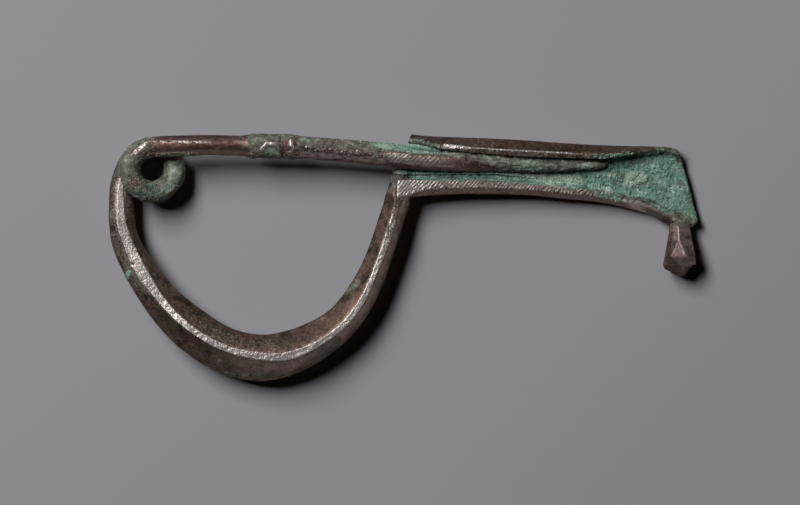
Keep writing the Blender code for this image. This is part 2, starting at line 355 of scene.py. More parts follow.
def old_bronze(name, browns, stretch=(1.0, 1.0, 1.0)):
    """Patinated bronze: browns are dark, mid, warm and olive; stretch draws out the grain."""
    material = bpy.data.materials.new(name)
    material.use_nodes = True
    tree = material.node_tree
    tree.nodes.clear()
    place = add(tree, "ShaderNodeTexCoord", {}).outputs["Object"]
    drawn = add(tree, "ShaderNodeVectorMath", {0: place, 1: stretch}, operation="MULTIPLY")
    rubbed, thin_oxide_and_painted_light, pits_and_painted_shade, *crusts = (
        add(tree, "ShaderNodeAttribute", {}, attribute_name=mark).outputs["Fac"] for mark in MARKS
    )

    # Clouds of oxide 1.6 mm wide, redder and olive clouds of 2 to 3 mm, and specks of 0.3 mm. The
    # real crystals are finer; 0.3 mm is the smallest that still shows. The grains of the crusts run
    # from 0.9 mm down to dust.
    clouds, warmth, olives, specks, fine, grains = (
        add(
            tree,
            "ShaderNodeTexNoise",
            {"Vector": where, "Scale": per_mm(size), "Detail": detail, "Roughness": roughness},
        )
        for where, size, detail, roughness in (
            (drawn, 1.6, 6.0, 0.5),
            (drawn, 3.1, 4.0, 0.5),
            (drawn, 2.2, 5.0, 0.5),
            (drawn, 0.32, 3.0, 0.5),
            (place, 0.17, 2.0, 0.5),
            (place, 0.9, 6.5, 0.77),
        )
    )

    # The brown oxide: clouds first, then warm and olive ones, then specks a little lighter or darker.
    tint = set_ramp(
        add(tree, "ShaderNodeValToRGB", {"Fac": clouds}), ((0.36, browns[0]), (0.6, browns[1]))
    )
    for cloud, full, limit, shade in ((warmth, 0.66, 0.75, browns[2]), (olives, 0.64, 0.7, browns[3])):
        share = add(tree, "ShaderNodeMapRange", {0: cloud, 1: 0.5, 2: full, 4: limit})
        tint = add(tree, "ShaderNodeMix", {0: share, 6: tint, 7: colour(shade)}, data_type="RGBA")
    value = add(tree, "ShaderNodeMapRange", {0: specks, 1: 0.36, 2: 0.64, 3: 0.68, 4: 1.3})
    tint = add(tree, "ShaderNodeHueSaturation", {"Value": value, "Color": tint})

    # Where the oxide has worn thin, the metal under it makes it paler and more lilac, without specks.
    # Where it is rubbed, the bare metal shows through in specks first, then all over. On the pin the
    # two marks also lay painted light on its lower side, and the rubbed one a painted highlight.
    frayed = add(tree, "ShaderNodeMath", {0: specks, 1: 1.2, 2: -0.6}, operation="MULTIPLY_ADD")
    bare_and_painted_light = add(tree, "ShaderNodeMath", {0: rubbed, 1: frayed}, operation="ADD")
    bare_and_painted_light = add(tree, "ShaderNodeMapRange", {0: bare_and_painted_light, 1: 0.2, 2: 0.95})
    for share, shade in ((thin_oxide_and_painted_light, THIN_OXIDE_AND_PAINTED_LIGHT), (bare_and_painted_light, BARE_METAL_AND_PAINTED_LIGHT)):
        tint = add(tree, "ShaderNodeMix", {0: share, 6: tint, 7: colour(shade)}, data_type="RGBA")

    # The three crusts, each with its border frayed by clouds and specks. Malachite is dulled here and
    # there by the grey one. The chalky crust is also laid on as painted light in the foot's strip.
    ragged = add(tree, "ShaderNodeMath", {0: clouds, 1: 1.4, 2: -0.7}, operation="MULTIPLY_ADD")
    ragged = add(tree, "ShaderNodeMath", {0: frayed, 1: 0.7, 2: ragged}, operation="MULTIPLY_ADD")
    grey, green, chalk_and_painted_light = (
        set_ramp(add(tree, "ShaderNodeValToRGB", {"Fac": grains}), stops)
        for stops in (GREY_CRUST, MALACHITE, CHALKY_AND_PAINTED_LIGHT)
    )
    dull = add(tree, "ShaderNodeMapRange", {0: olives, 1: 0.48, 2: 0.68, 4: 0.5})
    green = add(tree, "ShaderNodeMix", {0: dull, 6: green, 7: grey}, data_type="RGBA")
    crusted = 0.0
    for mark, shade in zip(crusts, (grey, green, chalk_and_painted_light)):
        cover = add(tree, "ShaderNodeMath", {0: mark, 1: ragged}, operation="ADD")
        cover = add(tree, "ShaderNodeMapRange", {0: cover, 1: 0.3, 2: 0.78})
        tint = add(tree, "ShaderNodeMix", {0: cover, 6: tint, 7: shade}, data_type="RGBA")
        crusted = add(tree, "ShaderNodeMath", {0: crusted, 1: cover}, operation="MAXIMUM")
    # The deep pit colour darkens real pits, and lays painted shade on two bands of the pin.
    tint = add(tree, "ShaderNodeMix", {0: pits_and_painted_shade, 6: tint, 7: colour(DEEP_PIT_AND_PAINTED_SHADE)}, data_type="RGBA")

    # Thin oxide lets the metal shine through it, bare metal is glossier, and the crusts are plain
    # matt mineral.
    surface = {"Base Color": tint}
    for quality, oxide, metal, crust in (
        ("Metallic", 0.85, 0.97, 0.0),
        ("Roughness", 0.5, 0.4, MATT_MINERAL),
    ):
        value = add(tree, "ShaderNodeMapRange", {0: bare_and_painted_light, 3: oxide, 4: metal})
        surface[quality] = add(tree, "ShaderNodeMix", {0: crusted, 2: value, 3: crust})

    # The relief that is too fine for the mesh: hammered grain on bare metal, grit on the crust.
    grit = add(tree, "ShaderNodeMath", {0: specks, 1: fine}, operation="ADD")
    depth = add(tree, "ShaderNodeMapRange", {0: bare_and_painted_light, 3: 0.3, 4: 0.45})
    depth = add(tree, "ShaderNodeMath", {0: depth, 1: crusted}, operation="MAXIMUM")
    grit = add(tree, "ShaderNodeMath", {0: grit, 1: depth}, operation="MULTIPLY")
    surface["Normal"] = add(tree, "ShaderNodeBump", {"Height": grit, "Distance": GRIT_DEPTH})
    add(tree, "ShaderNodeOutputMaterial", {"Surface": add(tree, "ShaderNodeBsdfPrincipled", surface)})
    return material


# %% The finishes of this brooch
# The bow: dark brown with a dull gloss, cut by a line of bright hammered metal.
rubbed_bronze = old_bronze(
    "hammered bronze, brown oxide rubbed bright", ("#3f342d", "#7a665c", "#6f4e4a", "#5f5744")
)
# The wire: redder and smoother, its grain drawn out lengthways as it came through the plate.
drawn_bronze = old_bronze(
    "drawn bronze wire, red-brown oxide", ("#4c3937", "#836462", "#804b43", "#695747"), (0.4, 1.0, 1.0)
)
# The foot: warm brown metal with pale file marks, most of it under a granular green crust.
crusted_bronze = old_bronze(
    "filed bronze sheet under malachite", ("#46362f", "#7e695d", "#7d5043", "#675b46")
)
# The knob: a paler, cooler lilac brown whose flat facets catch the light one by one.
faceted_bronze = old_bronze(
    "filed bronze knob, lilac-brown oxide", ("#5c4e4d", "#8a7473", "#7f6058", "#6f6356")
)

# %% [markdown]
# ## The bow
#
# The bow is one forged rod, thickest at its belly, with a flat ridge along its front that hands
# and cloth have rubbed bright. Its section has twelve corners. It could be a curve with a bevel
# profile, but the section changes along the way, from round at the spring to faceted at the belly,
# so the sections are set square across the path and skinned. The rod starts inside the spring, out
# of sight under its front turn, and ends inside the foot.

# %% The path of the rod
COIL_CENTRE = (-34.0, 11.9)
COIL_RADIUS = 2.98
COIL_OPENS = 440
COIL_STEP = 15
ROD_IN_SPRING = (480, 570)
ROD_STEP = 0.16
WIRE_RADIUS = 1.42
PIN_PLANE = 4.45
BOW_PLANE = 3.0
BOW_WIDEST = 6.3

# x, y, height of the middle, width; then the flat ridge: half width, shift away from the arch, and
# how far the facets beyond and inside it are rubbed.
BOW = [
    (-38.25, 8.2, 1.9, 3.3, 0.75, 0.0, 0.45, 0.5),
    (-38.15, 5.1, 2.3, 3.5, 0.7, 0.0, 0.4, 0.15),
    (-37.55, 1.9, 2.7, 3.8, 0.6, -0.45, 0.5, 0.0),
    (-35.45, -2.0, 3.0, 4.4, 0.72, -0.25, 0.62, 0.0),
    (-32.4, -6.2, 3.0, 5.1, 0.52, -0.05, 0.15, 0.05),
    (-28.6, -9.8, 3.0, 5.95, 0.45, -0.1, 0.0, 0.2),
    (-24.1, -12.55, 3.0, 6.15, 0.47, -0.33, 0.06, 0.25),
    (-19.4, -13.55, 3.0, 6.3, 0.53, -0.26, 0.12, 0.2),
    (-15.5, -12.9, 3.0, 5.95, 0.58, 0.35, 0.12, 0.05),
    (-11.6, -11.1, 3.0, 5.25, 0.42, 0.5, 0.15, 0.0),
    (-8.35, -8.65, 3.0, 4.6, 0.42, 0.5, 0.15, 0.0),
    (-5.8, -5.3, 3.0, 4.15, 0.4, 0.45, 0.15, 0.0),
    (-3.8, -1.15, 3.0, 3.6, 0.36, 0.25, 0.15, 0.0),
    (-2.3, 3.15, 2.95, 3.4, 0.5, 0.35, 0.1, 0.0),
    (-1.35, 6.05, 2.75, 3.4, 0.36, 0.2, 0.05, 0.0),
    (-0.95, 7.3, 2.68, 3.5, 0.4, 0.15, 0.05, 0.0),
    (-0.75, 8.1, 2.58, 3.45, 0.75, 0.1, 0.0, 0.0),
    (-0.5, 9.0, 2.45, 3.3, 0.9, 0.1, 0.0, 0.0),
    (-0.3, 10.2, 2.2, 2.9, 0.9, 0.1, 0.0, 0.0),
    (-0.05, 10.9, 1.7, 2.2, 0.6, 0.1, 0.0, 0.0),
    (0.15, 11.4, 1.35, 1.6, 0.4, 0.0, 0.0, 0.0),
]
ROUND = math.tan(math.radians(15))
FLAT_INSIDE = -15.5
BULGE = 0.155
ARCH_MIDDLE = -15.0
LEFT_LIMB = -25.0


def coil_rows(first, last):
    """The spring from one angle to another: x, y, z and radius, every COIL_STEP degrees."""
    dx, dy = BOW[0][0] - COIL_CENTRE[0], BOW[0][1] - COIL_CENTRE[1]
    opening = math.hypot(dx, dy) - COIL_RADIUS
    bow_angle = math.degrees(math.atan2(dy, dx)) + 720
    rows = []
    for angle in range(first, last + 1, COIL_STEP):
        opened = max(0.0, (angle - COIL_OPENS) / (bow_angle - COIL_OPENS)) ** 4
        radius = COIL_RADIUS + opening * opened
        x = COIL_CENTRE[0] + radius * math.cos(math.radians(angle))
        y = COIL_CENTRE[1] + radius * math.sin(math.radians(angle))
        swelling = ease((angle - 550) / (bow_angle - 550))
        z = mix(mix(PIN_PLANE, WIRE_RADIUS, ease((angle - 180) / 270)), BOW[0][2], swelling)
        wire = mix(WIRE_RADIUS, BOW[0][3] / 2, swelling)
        rows.append((x, y, z, min(wire, z)))
    return rows


def rod_rows():
    """Place, half width, half depth, ridge, side, swells out and in, shift, rubbing out and in."""
    rows = []
    for x, y, z, radius in coil_rows(*ROD_IN_SPRING):
        flat = radius * ROUND
        rubbed = 0.5 * ease((11.0 - y) / 1.5)
        rows.append((x, y, z, radius, radius, flat, flat, 1.0, 1.0, 0.0, rubbed, rubbed))
    for i, (x, y, z, width, ridge, shift, rub_out, rub_in) in enumerate(BOW):
        facet = ease(i * 3 / 5)
        half = width / 2
        depth = half * mix(1.0, 2 * BOW_PLANE / BOW_WIDEST, facet)
        side = mix(half * ROUND, 0.14 * half, facet)
        swell = mix(1.0, 0.6, facet)
        swell_in = mix(swell, 0.05, ease((x - FLAT_INSIDE) / 4.0))
        ridge = mix(half * ROUND, ridge, facet)
        rows.append((x, y, z, half, depth, ridge, side, swell, swell_in, shift, rub_out, rub_in))
    return rows


rod = through(rod_rows(), ROD_STEP)
print("the rod of the bow is", length_of(rod), "mm long")


# %% Sections across the rod
def rod_corners(rows):
    """The twelve corners of each section, in space, square across the rod's path."""
    path = rows[:, :3]
    half, depth, ridge, side, swell_out, swell_in, shift = rows[:, 3:10].T
    tangent = np.gradient(path, axis=0)
    tangent /= np.linalg.norm(tangent, axis=1, keepdims=True)
    out = np.cross(tangent, (0.0, 0.0, 1.0))
    out /= np.linalg.norm(out, axis=1, keepdims=True)
    up = np.cross(out, tangent)
    beyond, inside = 1 + BULGE * swell_out, 1 + BULGE * swell_in
    outwards, inwards = (half + ridge + shift) / 2, (half + ridge - shift) / 2
    upwards = (depth + side) / 2
    right = [(half, side), (outwards * beyond, upwards * beyond), (ridge + shift, depth)]
    left = [(-ridge + shift, depth), (-inwards * inside, upwards * inside), (-half, side)]
    top = right + left
    ring = top + [(a, -b) for a, b in top[::-1]]
    return np.stack([path + a[:, None] * out + b[:, None] * up for a, b in ring], axis=1)


ROD_CUTS = (9, 10, 8, 10, 9, 4, 7, 7, 6, 7, 7, 4)
ROD_WEAR = (0.3, 0.5, 0.13, 0.13, 0.5, 0.3, 0.3, 0.5, 0.3, 0.3, 0.5, 0.3)
bow_grid, bow_place = round_off(rod_corners(rod), ROD_WEAR, ROD_CUTS)
print("the bow has", bow_grid.shape[0], "sections of", bow_grid.shape[1], "points")

# %% [markdown]
# The marks of the bow are laid on by facet. The ridge is bare metal, dented by small blows; the
# facet beyond it is rubbed where the rod leaves the spring; the facets inside the arch keep their
# brown. A few spots of green and a few pits sit where they grew.

# %% Marks and relief of the bow
BOW_GREEN = [
    (-37.3, -2.5, 0.95, 0.45, 62, 0.8),
    (-33.7, -2.3, 0.4, 0.3, 0, 0.7),
    (-7.2, -4.6, 1.5, 0.45, 52, 0.34),
    (-6.2, -3.1, 0.35, 0.25, 0, 0.5),
    (-12.6, -13.3, 1.6, 0.5, 20, 0.35),
]
BOW_GREY = [
    (-10.6, -12.5, 3.6, 0.8, 38, 0.5),
    (-21.0, -15.7, 4.5, 0.7, -4, 0.5),
    (-39.3, 4.6, 0.5, 2.6, 4, 0.5),
    (-7.4, -4.9, 2.0, 0.8, 52, 0.45),
    (-0.6, 10.6, 1.6, 1.5, 0, 0.85),
    (-38.6, 13.0, 1.8, 2.4, -20, 0.7),
    (-1.9, 9.9, 0.9, 1.3, -10, 0.55),
]
BOW_PITS = [
    (-34.8, -5.35, 0.5, 0.3, -60, 0.9),
    (-30.6, -5.5, 0.7, 0.3, -20, 0.8),
    (-36.6, -0.95, 0.25, 0.18, 0, 0.8),
    (-29.0, -13.0, 0.4, 0.3, 0, 0.5),
]
BOW_DARK = [(-12.6, -9.9, 3.4, 1.5, 32, 0.28), (-8.9, -6.5, 2.4, 1.4, 52, 0.3)]
front = between(bow_place, 0.0, 5.0, 0.3)
on_ridge = between(bow_place, 2.0, 3.0, 0.1)
bx, by = bow_grid[..., 0], bow_grid[..., 1]
near_foot = ease((by - 1.0) / 2.5) * (bx > ARCH_MIDDLE)
under_rib = ease((by - 6.2) / 1.2) * (bx > ARCH_MIDDLE)
left_limb = ease((by + 6.0) / 5.0) * (bx < LEFT_LIMB)
worn_ridge = on_ridge * near_foot * (1 - under_rib)
low = bumps(bow_grid, 3.2, 1)
blows = bumps(bow_grid, 0.45, 2, octaves=2)
glints = worn_ridge * ease((bumps(bow_grid, 0.35, 23, octaves=1) - 0.05) / 0.2)

ridge_shine = (1 - 0.6 * near_foot) * (1 - 0.6 * under_rib) - 0.2 * left_limb
rub_out, rub_in = rod[:, 10:11], rod[:, 11:12]
facet_shine = between(bow_place, 0.9, 2.4, 0.7) * rub_out + between(bow_place, 3.0, 4.2, 0.7) * rub_in
bow_rubbed = most(on_ridge * ridge_shine, facet_shine, glints)
bow_grey = spots(bow_grid, BOW_GREY) * front * (1 - 0.8 * on_ridge * (1 - under_rib))
bow_pits = spots(bow_grid, BOW_PITS) * front
limb_dulled = 0.33 * left_limb + 0.28 * between(by, 1.2, 5.2, 3.0) * (bx < LEFT_LIMB)
dulled = on_ridge * most(0.25 * near_foot * (1 - glints), limb_dulled)
bow_thin = 0.36 * between(bow_place, 0.9, 2.0, 0.5) * ease((bx - LEFT_LIMB) / 4.0)
bow_marks = {
    "rubbed": bow_rubbed,
    "thin_oxide_and_painted_light": bow_thin * (1 + 0.9 * bumps(bow_grid, 1.1, 40)),
    "grey": most(bow_grey, 0.5 * worn_ridge) * (1 - glints),
    "green": spots(bow_grid, BOW_GREEN) * front,
    "pits_and_painted_shade": most(0.8 * bow_pits, dulled, spots(bow_grid, BOW_DARK) * front * (1 - on_ridge)),
}
bow_height = 0.05 * low + 0.027 * blows * (0.35 + bow_rubbed) * (1 - 0.75 * left_limb)
bow_height -= 0.16 * bow_pits + 0.05 * (np.abs(bow_place - 2.5) < 0.6)
skin("bow", raise_skin(bow_grid, bow_height), bow_marks, rubbed_bronze)

# %% [markdown]
# ## The spring and the pin
#
# The same rod, drawn out to wire, makes one turn and a third round nothing and runs on as the pin.
# A thing that follows a path is what Geometry Nodes are for: the path is a row of points with a
# radius on each, and the tree turns it into a curve, sweeps a circle along it and roughens it.

# %% The path of the wire
WIRE_IN_SPRING = (90, 525)
WIRE_STEP = 0.13
PIN_ROWS = 81

# x, y and radius, from the tip to the spring.
PIN = [
    (27.3, 12.5, 0.22),
    (26.5, 12.5, 0.47),
    (24.0, 12.6, 0.70),
    (19.8, 12.55, 0.95),
    (13.1, 12.85, 1.20),
    (6.3, 13.1, 1.45),
    (-0.5, 13.65, 1.6),
    (-5.9, 14.22, 1.56),
    (-14.0, 14.9, 1.50),
    (-14.7, 14.95, 1.62),
    (-17.5, 15.05, 1.56),
    (-20.7, 15.1, 1.60),
    (-21.3, 15.1, 1.38),
    (-27.5, 15.2, 1.36),
    (-31.4, 15.05, 1.40),
    (-33.2, 14.95, 1.42),
]
PLATE_BACK = 1.25
PLATE_FALL = 0.025
PLATE_THICKNESS = 1.0
PIN_CLEARANCE = 0.15


def plate_back(x):
    """The height of the foot's flat back, which falls slightly towards the knob."""
    return PLATE_BACK - PLATE_FALL * x


def pin_rows():
    """The pin from its tip under the catch to the spring: x, y, z, radius."""
    start = PIN[-1][0]
    centre = [(x, y) for x, y, _ in PIN]
    thickness = [(x, radius) for x, _, radius in PIN]
    at_foot = plate_back(0) + PLATE_THICKNESS + PIN_CLEARANCE + level(thickness, 0.0)
    rows = []
    for x in np.linspace(PIN[0][0], start, PIN_ROWS):
        radius = level(thickness, x)
        resting = plate_back(x) + PLATE_THICKNESS + PIN_CLEARANCE + radius
        z = resting if x > 0 else mix(at_foot, PIN_PLANE, x / start)
        rows.append((x, level(centre, x), z, radius))
    return rows


wire = through(pin_rows() + coil_rows(*WIRE_IN_SPRING), WIRE_STEP)
print("the wire is", length_of(wire), "mm long")


# %% Trees of nodes
def new_tree(name, numbers):
    """A tree that takes a mesh, numbers (name, kind, usual value) and a material; and its inputs."""
    tree = bpy.data.node_groups.new(name, "GeometryNodeTree")
    face = tree.interface
    face.new_socket("Mesh", in_out="INPUT", socket_type="NodeSocketGeometry")
    for label, kind, value in numbers:
        face.new_socket(label, in_out="INPUT", socket_type=kind).default_value = value
    face.new_socket("Material", in_out="INPUT", socket_type="NodeSocketMaterial")
    face.new_socket("Mesh", in_out="OUTPUT", socket_type="NodeSocketGeometry")
    return tree, add(tree, "NodeGroupInput", {}).outputs


def end_tree(tree, made, material):
    """The end of every tree: instances become real faces, and they wear the material."""
    real = add(tree, "GeometryNodeRealizeInstances", {"Geometry": made})
    clad = add(tree, "GeometryNodeSetMaterial", {"Geometry": real, "Material": material})
    add(tree, "NodeGroupOutput", {0: clad})


def run_tree(tree, source, values):
    """A plain mesh made by a tree from a source mesh; its inputs are set by their identifiers."""
    carrier = bpy.data.objects.new("carrier", source)
    bpy.context.scene.collection.objects.link(carrier)
    modifier = carrier.modifiers.new("nodes", "NODES")
    modifier.node_group = tree
    for item in tree.interface.items_tree:
        if item.in_out == "INPUT" and item.name in values:
            modifier[item.identifier] = values[item.name]
    graph = bpy.context.evaluated_depsgraph_get()
    mesh = bpy.data.meshes.new_from_object(carrier.evaluated_get(graph))
    carrier.modifiers.remove(modifier)
    bpy.data.objects.remove(carrier)
    return mesh


# %% The tree that sweeps the wire
def wire_tree():
    tree, given = new_tree(
        "sweep a wire along its path",
        (
            ("Sides", "NodeSocketInt", 72),
            ("Dent Size", "NodeSocketFloat", 0.9 * MM),
            ("Dent Depth", "NodeSocketFloat", 0.05 * MM),
        ),
    )
    radius = add(tree, "GeometryNodeInputNamedAttribute", {"Name": "thickness"})
    curve = add(tree, "GeometryNodeMeshToCurve", {"Mesh": given["Mesh"]})
    circle = add(tree, "GeometryNodeCurvePrimitiveCircle", {"Resolution": given["Sides"]})
    swept = add(
        tree,
        "GeometryNodeCurveToMesh",
        {"Curve": curve, "Profile Curve": circle, "Scale": radius, "Fill Caps": True},
    )
    scale = add(tree, "ShaderNodeMath", {0: 1.0, 1: given["Dent Size"]}, operation="DIVIDE")
    dents = add(tree, "ShaderNodeTexNoise", {"Scale": scale})
    dents = add(tree, "ShaderNodeMath", {0: dents, 1: 0.5}, operation="SUBTRACT")
    dents = add(tree, "ShaderNodeMath", {0: dents, 1: given["Dent Depth"]}, operation="MULTIPLY")
    outwards = add(tree, "GeometryNodeInputNormal", {})
    offset = add(tree, "ShaderNodeVectorMath", {0: outwards, "Scale": dents}, operation="SCALE")
    dented = add(tree, "GeometryNodeSetPosition", {"Geometry": swept, "Offset": offset})
    end_tree(tree, dented, given["Material"])
    return tree


path = bpy.data.meshes.new("wire path")
path.from_pydata((wire[:, :3] * MM).tolist(), [(i, i + 1) for i in range(len(wire) - 1)], [])
store(path, "thickness", wire[:, 3] * MM)
wire_mesh = run_tree(wire_tree(), path, {"Material": drawn_bronze})
print("the swept wire has", len(wire_mesh.vertices), "points")

# %% [markdown]
# The tree gives an even wire. Its real surface changes along the way, so the points are then
# marked and raised by their place: flaky green-brown on the spring, red-brown and smooth up to the
# lump where the pin was mended, a crust on the upper side from there on, and a surface like old
# bark towards the tip. Light and shade are painted on too: a painted highlight on the spring and
# along the pin's upper side, painted light on its lower side before the catch, and painted shade
# on its upper side between the spring and the lump and on its lower edge in the catch.


# %% Marks, relief, painted light and painted shade of the spring and the pin
def read(mesh, what):
    """The co or the normal of each point of a mesh, as rows of three numbers."""
    found = np.empty(len(mesh.vertices) * 3, np.float32)
    mesh.vertices.foreach_get(what, found)
    return found.reshape(-1, 3).astype(float)


CRUST_FROM = -14.8
SPRING_GREEN = [
    (-30.4, 11.6, 1.6, 2.4, 0, 0.36),
    (-32.6, 8.6, 2.6, 1.3, 10, 0.3),
    (-36.3, 9.6, 1.4, 1.6, 0, 0.3),
    (-34.3, 9.8, 0.4, 0.35, 0, 1.0),
]
PIN_GREEN = [
    (0.8, 14.75, 5.2, 0.72, -7, 1.0),
    (-17.4, 14.1, 1.4, 0.5, 0, 0.4),
    (-13.1, 15.85, 1.3, 0.45, 0, 0.42),
    (16.5, 12.0, 3.6, 0.4, -2, 0.42),
]
SPRING_CHALK = [(-30.9, 12.2, 1.2, 2.2, -12, 0.62), (-31.9, 9.5, 1.2, 0.8, 30, 0.55)]
PIN_CHALK = [
    (0.6, 14.7, 4.6, 0.52, -7, 0.58),
    (9.5, 13.75, 5.0, 0.4, -5, 0.42),
    (18.5, 12.75, 8.0, 0.5, -1, 0.4),
    (-30.4, 14.0, 2.6, 0.3, 0, 0.5),
    (25.6, 12.5, 2.4, 0.5, 0, 0.5),
]
# Painted highlight: pale bare-metal lines where the lamp's highlight falls on the spring and the pin.
SPRING_PAINTED_HIGHLIGHT = [(-35.6, 14.7, 1.7, 0.3, 42, 1.0), (-30.6, 15.62, 5.0, 0.2, -1, 0.8)]
CAKED = [(-30.4, 13.95, 2.8, 0.35, 0, 0.8)]
DIMPLE = [(-15.9, 14.9, 0.75, 1.0, 8, 0.8)]
SCAR = [
    (-18.9, 14.9, 0.8, 0.25, 45, 1.0),
    (-17.9, 15.35, 0.9, 0.25, -5, 1.0),
    (-15.1, 15.2, 0.25, 0.8, 15, 1.0),
]
GROOVES = [(-16.4, 14.9, 0.28, 1.5, 8, 1.0), (-18.0, 14.6, 1.0, 0.35, 0, 0.4)]

turn_outwards(wire_mesh)
wire_points, wire_normals = read(wire_mesh, "co") / MM, read(wire_mesh, "normal")
wx, wy = wire_points[:, 0], wire_points[:, 1]
above = wy - level([(x, y) for x, y, _ in PIN], wx)
wander = 0.8 * bumps(wire_points, 1.0, 19)
in_spring = ease((-33.8 - wx + wander) / 2.2 + 0.5)
in_spring = np.where(wy < 13.2, ease(-26.0 - wx), in_spring)
rise = 0.55 * between(wx, -2.5, 7.0, 3.0)
crusted_top = ease((above - rise + 0.1) / 0.9 + 0.5) * ease((wx - CRUST_FROM) / 0.8)
bark = ease((wx - 7.5 + 2.5 * above) / 4.0)
lump = between(wx + wander, -20.9, -14.2, 1.3)
dimple, painted_highlight_line, scar, groove, caked = (
    spots(wire_points, where) for where in (DIMPLE, SPRING_PAINTED_HIGHLIGHT, SCAR, GROOVES, CAKED)
)
crust_border = between(above, -0.45, 0.25, 0.3) * between(wx, CRUST_FROM, 0.0, 2.0)
flank = between(wx, -2.2, 6.5, 2.0) * between(above, -0.95, 0.4, 0.4)
# Painted light: a band on the pin's lower side, rubbed paler because that side faces away from the
# lamp.
below = between(above, -1.25, -0.5, 0.4) * between(wx, -14.5, -2.0, 2.0)
left_stretch = ease((-20.5 - wx) / 0.6) * (1 - in_spring)

speckle = bumps(wire_points, 0.24, 14, octaves=1)
dots = 0.7 * crust_border * ease((speckle - 0.05) / 0.2)
grit = bumps(wire_points, 0.5, 3)
streaks = bumps(wire_points * (0.35, 1.6, 1.6), 0.45, 4, octaves=2)
scratches = strokes(wire_points, 38, 0.12 * bumps(wire_points, 1.5, 15, octaves=1))
scratches *= flank * ease(0.75 + 1.2 * bumps(wire_points, 1.2, 17, octaves=1))
rough = most(crusted_top, bark, 0.7 * in_spring, 0.9 * lump)
rough = np.clip(0.2 + 0.8 * rough, 0, 1) * (1 - 0.5 * painted_highlight_line)
wire_height = 0.03 * bumps(wire_points, 2.5, 5) + rough * 0.08 * grit + bark * 0.08 * streaks
wire_height += 0.1 * in_spring * bumps(wire_points, 0.9, 18, octaves=2) + 0.1 * caked
wire_height += 0.12 * scar - 0.24 * groove + 0.07 * lump + 0.055 * scratches + 0.04 * dots

wire_grey = most(0.7 * crusted_top, 0.9 * bark, 0.8 * in_spring, 0.75 * lump, caked)
wire_grey *= (1 - dots) * (1 - 0.9 * scar) * (1 - 0.75 * painted_highlight_line) * (1 - dimple)
wire_green, wire_chalk = (
    most(spots(wire_points, spring) * in_spring, spots(wire_points, pin) * (1 - in_spring))
    for spring, pin in ((SPRING_GREEN, PIN_GREEN), (SPRING_CHALK, PIN_CHALK))
)
# Rubbed metal, and painted light: the painted highlight and the paler lower band are laid in here.
wire_rubbed_and_painted_light = most(
    0.04 + 0.2 * bumps(wire_points * (0.3, 1.0, 1.0), 0.6, 16),
    0.95 * scar,
    1.3 * painted_highlight_line * ease(0.6 + speckle),
    dots,
    scratches,
    0.25 * flank,
    0.5 * below,
)
# Grooves, and painted shade: the pin's upper side by the spring and its lower edge in the catch.
wire_pits_and_painted_shade = most(
    0.45 * groove,
    0.16 * between(above, 0.6, 1.4, 0.3) * left_stretch,
    0.25 * between(above, -1.7, -0.9, 0.3) * between(wx, -2.0, 7.5, 2.0),
)
wire_marks = {
    "rubbed": wire_rubbed_and_painted_light,
    # Painted light: a paler lilac band on the pin's lower side between the spring and the lump.
    "thin_oxide_and_painted_light": most(0.4 * between(above, -1.3, -0.7, 0.4) * left_stretch, 0.55 * flank),
    "pits_and_painted_shade": wire_pits_and_painted_shade,
    "grey": wire_grey,
    "green": wire_green,
    "chalk_and_painted_light": wire_chalk,
}
moved = wire_points + wire_normals * wire_height[:, None]
moved[:, 2] = np.maximum(moved[:, 2], 0.0)
wire_mesh.vertices.foreach_set("co", (moved * MM).astype(np.float32).reshape(-1))
wire_mesh.update()
for mark, values in wire_marks.items():
    store(wire_mesh, mark, values)
spring_and_pin = finish_piece("spring_and_pin", wire_mesh)

# %% [markdown]
# ## The foot
#
# The foot is a sheet with a thick rib along its lower side and a lip folded over along its upper
# side, so that its section is a J. The pin lies in that fold. Towards the knob the fold opens and
# the sheet is flat. A sheet with a fold could be modelled flat and bent, but the finished sections
# are simpler to measure, so these are skinned too, with slanted ends.

# %% Outlines and heights of the foot
# The outlines are given as x and y.
FOOT_TOP = [
    (1.0, 16.7),
    (3.5, 16.45),
    (13.1, 16.1),
    (26.6, 15.25),
    (35.8, 15.0),
    (36.6, 14.85),
    (37.5, 14.2),
]
LIP_RIDGE = [
    (1.0, 15.8),
    (5.5, 15.0),
    (13.0, 14.55),
    (18.5, 14.25),
    (24.0, 14.1),
    (29.3, 14.25),
    (32.5, 14.5),
    (35.3, 14.75),
    (37.0, 14.15),
]
LIP_EDGE = [
    (1.0, 15.4),
    (4.9, 14.6),
    (10.4, 14.1),
    (17.1, 13.6),
    (26.6, 13.4),
    (29.3, 13.7),
    (32.5, 14.25),
    (35.3, 14.5),
    (37.0, 13.9),
]
RIB_TOP = [(-1.3, 10.5), (10.4, 10.6), (18.5, 10.0), (26.6, 9.1), (33.3, 7.8), (37.2, 5.7), (39.7, 5.1)]
FOOT_BASE = [
    (-1.3, 7.9),
    (1.2, 8.1),
    (3.6, 8.4),
    (9.0, 8.6),
    (15.8, 8.5),
    (21.2, 8.0),
    (26.6, 7.5),
    (30.7, 6.6),
    (33.4, 5.8),
    (35.9, 4.45),
    (37.5, 4.15),
    (39.2, 4.2),
    (39.95, 4.9),
]

# The bevel's share of the rib's width, and the heights of rib and lip, all by x.
RIB_BEVEL = [(-1.3, 0.0), (0.2, 0.06), (1.3, 0.16), (2.3, 0.27), (3.6, 0.35), (39.0, 0.35)]
RIB_FRONT = [(-1.3, 4.25), (10.0, 3.8), (20.0, 3.15), (30.0, 2.45), (36.0, 2.0), (40.0, 1.75)]
LIP_FRONT = [(1.0, 5.6), (13.0, 5.1), (20.0, 4.6), (27.0, 4.0), (33.0, 3.1), (37.5, 2.0)]

# The two end sections: x at the middle of the foot, and how far x moves for each step up.
FOOT_ENDS = (-1.0, 38.6)
FOOT_SLANTS = (0.3, -0.275)
FOOT_MIDDLE_Y = 10.0
LIP_THICKNESS = 0.45
LIP_BEVEL = 0.35
UNFOLDS = (30.0, 37.0)
SLANT_ROUNDS = 5


